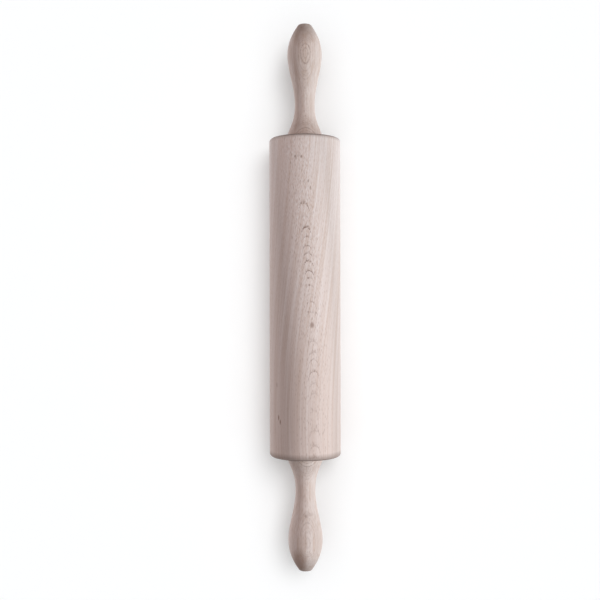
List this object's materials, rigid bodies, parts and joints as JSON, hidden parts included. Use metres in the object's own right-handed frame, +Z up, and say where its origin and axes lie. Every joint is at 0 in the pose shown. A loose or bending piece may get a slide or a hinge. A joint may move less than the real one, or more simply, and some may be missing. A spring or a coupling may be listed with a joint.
{
  "type": "rolling pin",
  "caption": "Beech rolling pin with a straight barrel that turns on sealed ball bearings between turned, waisted handles.",
  "frame": {"origin": "the point on the table under the middle of the barrel", "axes": "+Z up, +Y along the pin's axis towards the left handle, +X the way the pin rolls"},
  "size_m": [0.056, 0.431, 0.056],
  "materials": {
    "barrel_beech": "fine sanded, untreated",
    "handle_beech": "fine sanded, untreated",
    "axle_steel": "drawn bar",
    "bearing_steel": "ground",
    "ball_steel": "polished",
    "insert_brass": "machined",
    "spacer_steel": "zinc plated",
    "seal_rubber": "matte",
    "cage_nylon": "matte"
  },
  "bodies": {
    "barrel": {"barrel": "barrel_beech", "left_bearing_outer_ring": "bearing_steel", "left_bearing_outer_seal": "seal_rubber", "left_bearing_inner_seal": "seal_rubber", "right_bearing_outer_ring": "bearing_steel", "right_bearing_outer_seal": "seal_rubber", "right_bearing_inner_seal": "seal_rubber"},
    "axle_and_handles": {"axle": "axle_steel", "left_handle": "handle_beech", "left_handle_insert": "insert_brass", "left_spacer": "spacer_steel", "left_bearing_inner_ring": "bearing_steel", "right_handle": "handle_beech", "right_handle_insert": "insert_brass", "right_spacer": "spacer_steel", "right_bearing_inner_ring": "bearing_steel"},
    "left_bearing_balls": {"left_bearing_cage": "cage_nylon", "left_bearing_ball_1": "ball_steel", "left_bearing_ball_2": "ball_steel", "left_bearing_ball_3": "ball_steel", "left_bearing_ball_4": "ball_steel", "left_bearing_ball_5": "ball_steel", "left_bearing_ball_6": "ball_steel", "left_bearing_ball_7": "ball_steel"},
    "right_bearing_balls": {"right_bearing_cage": "cage_nylon", "right_bearing_ball_1": "ball_steel", "right_bearing_ball_2": "ball_steel", "right_bearing_ball_3": "ball_steel", "right_bearing_ball_4": "ball_steel", "right_bearing_ball_5": "ball_steel", "right_bearing_ball_6": "ball_steel", "right_bearing_ball_7": "ball_steel"}
  },
  "joints": [
    {"name": "axle_spin", "type": "hinge", "parent": "barrel", "child": "axle_and_handles", "pos_m": [0, 0, 0.028], "axis": [0, 1, 0], "continuous": true},
    {"name": "left_cage_turn", "type": "hinge", "parent": "barrel", "child": "left_bearing_balls", "pos_m": [0, 0.12, 0.028], "axis": [0, 1, 0], "continuous": true},
    {"name": "right_cage_turn", "type": "hinge", "parent": "barrel", "child": "right_bearing_balls", "pos_m": [0, -0.12, 0.028], "axis": [0, 1, 0], "continuous": true}
  ],
  "couplings": [
    {"joint": "left_cage_turn", "follows": "axle_spin", "ratio": 0.3677},
    {"joint": "right_cage_turn", "follows": "axle_spin", "ratio": 0.3677}
  ]
}
